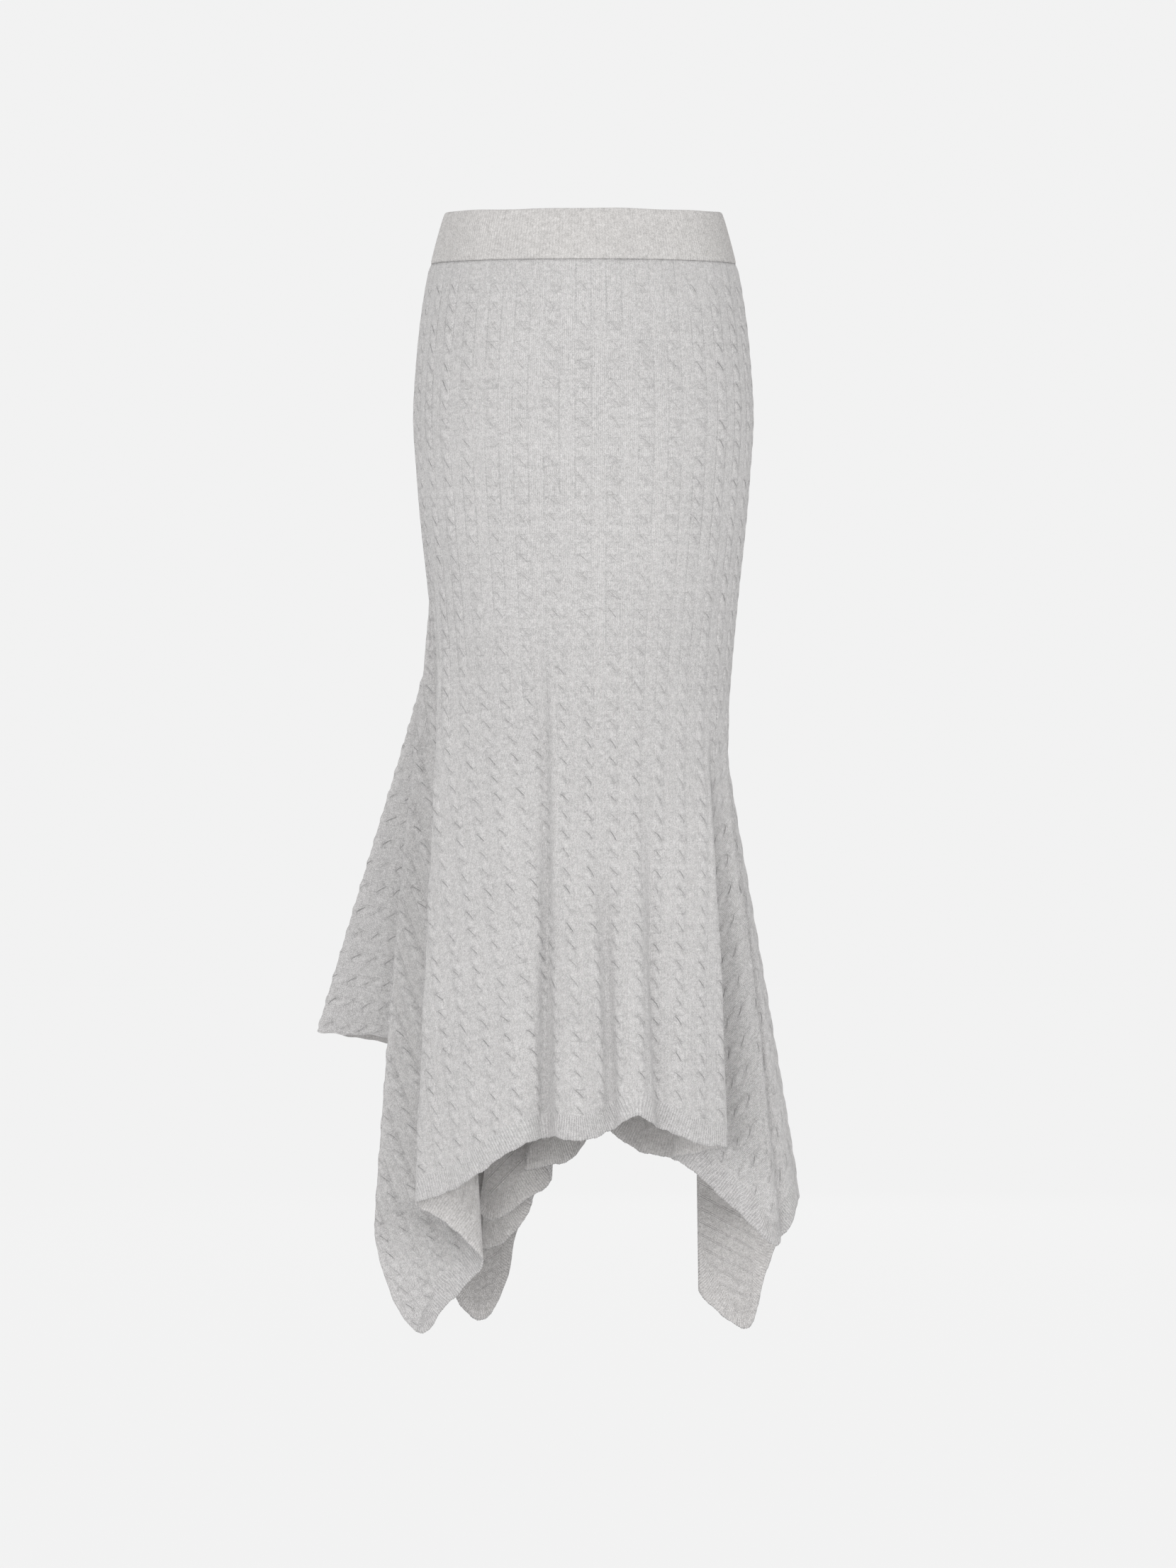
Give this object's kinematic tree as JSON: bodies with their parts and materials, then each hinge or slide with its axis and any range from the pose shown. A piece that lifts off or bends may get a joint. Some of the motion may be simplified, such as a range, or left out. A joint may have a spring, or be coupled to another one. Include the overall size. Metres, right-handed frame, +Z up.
{
  "type": "midi skirt",
  "caption": "Cable-knit midi skirt with a ribbed waistband, a close fit to the knee, deep flared folds and a pointed handkerchief hem, in its worn shape.",
  "frame": {"origin": "centre of the waist opening, level with the band's top edge at the back", "axes": "+Z up along the skirt's length, -Y towards the front panel, +X towards the side that is on the right when the front is seen"},
  "size_m": [0.4667, 0.2974, 1.0834],
  "materials": {
    "rib_knit": "heather grey ribbed wool knit, slightly fuzzy",
    "front_cable_knit": "heather grey cable wool knit, slightly fuzzy",
    "back_cable_knit": "heather grey cable wool knit, slightly fuzzy"
  },
  "bodies": {
    "root": {"waistband": "rib_knit", "front_panel": "front_cable_knit", "back_panel": "back_cable_knit"}
  },
  "joints": []
}
